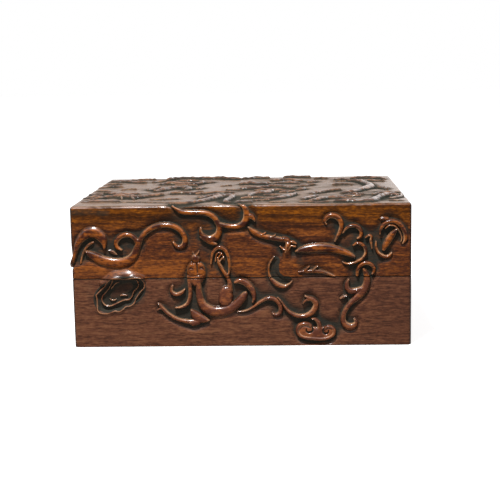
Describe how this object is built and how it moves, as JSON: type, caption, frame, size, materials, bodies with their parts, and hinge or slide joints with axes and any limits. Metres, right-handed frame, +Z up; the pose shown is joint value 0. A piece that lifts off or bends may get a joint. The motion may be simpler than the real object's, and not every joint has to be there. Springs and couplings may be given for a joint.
{
  "type": "keepsake box",
  "caption": "Carved rosewood keepsake box with scrolling dragons in low relief, a lid as deep as its base, a lining lip and brass butt hinges",
  "frame": {"origin": "middle of the underside of the closed box", "axes": "+X along the front to the right, +Y from the front to the hinged back, +Z up"},
  "size_m": [0.3, 0.24, 0.1296],
  "materials": {
    "lid_rosewood": "polished, orange-brown with dark streaks",
    "base_rosewood": "polished, red-brown with fine pores",
    "inner_wood": "plain oiled wood",
    "hinge_brass": "satin, slightly aged",
    "steel_pin": "drawn wire"
  },
  "bodies": {
    "base": {"base_front_board": "base_rosewood", "base_back_board": "base_rosewood", "base_left_board": "base_rosewood", "base_right_board": "base_rosewood", "base_floor_panel": "inner_wood", "base_corner_keys": "inner_wood", "lip_front_strip": "inner_wood", "lip_back_strip": "inner_wood", "lip_left_strip": "inner_wood", "lip_right_strip": "inner_wood", "hinge_left_base_leaf": "hinge_brass", "hinge_right_base_leaf": "hinge_brass", "hinge_left_pin": "steel_pin", "hinge_right_pin": "steel_pin", "base_hinge_screws": "hinge_brass"},
    "lid": {"lid_top_panel": "lid_rosewood", "lid_front_board": "lid_rosewood", "lid_back_board": "lid_rosewood", "lid_left_board": "lid_rosewood", "lid_right_board": "lid_rosewood", "lid_corner_keys": "inner_wood", "hinge_left_lid_leaf": "hinge_brass", "hinge_right_lid_leaf": "hinge_brass", "lid_hinge_screws": "hinge_brass"}
  },
  "joints": [
    {"name": "lid_hinge", "type": "hinge", "parent": "base", "child": "lid", "pos_m": [0, 0.116, 0.062], "axis": [-1, 0, 0], "range_deg": [0, 100]}
  ]
}
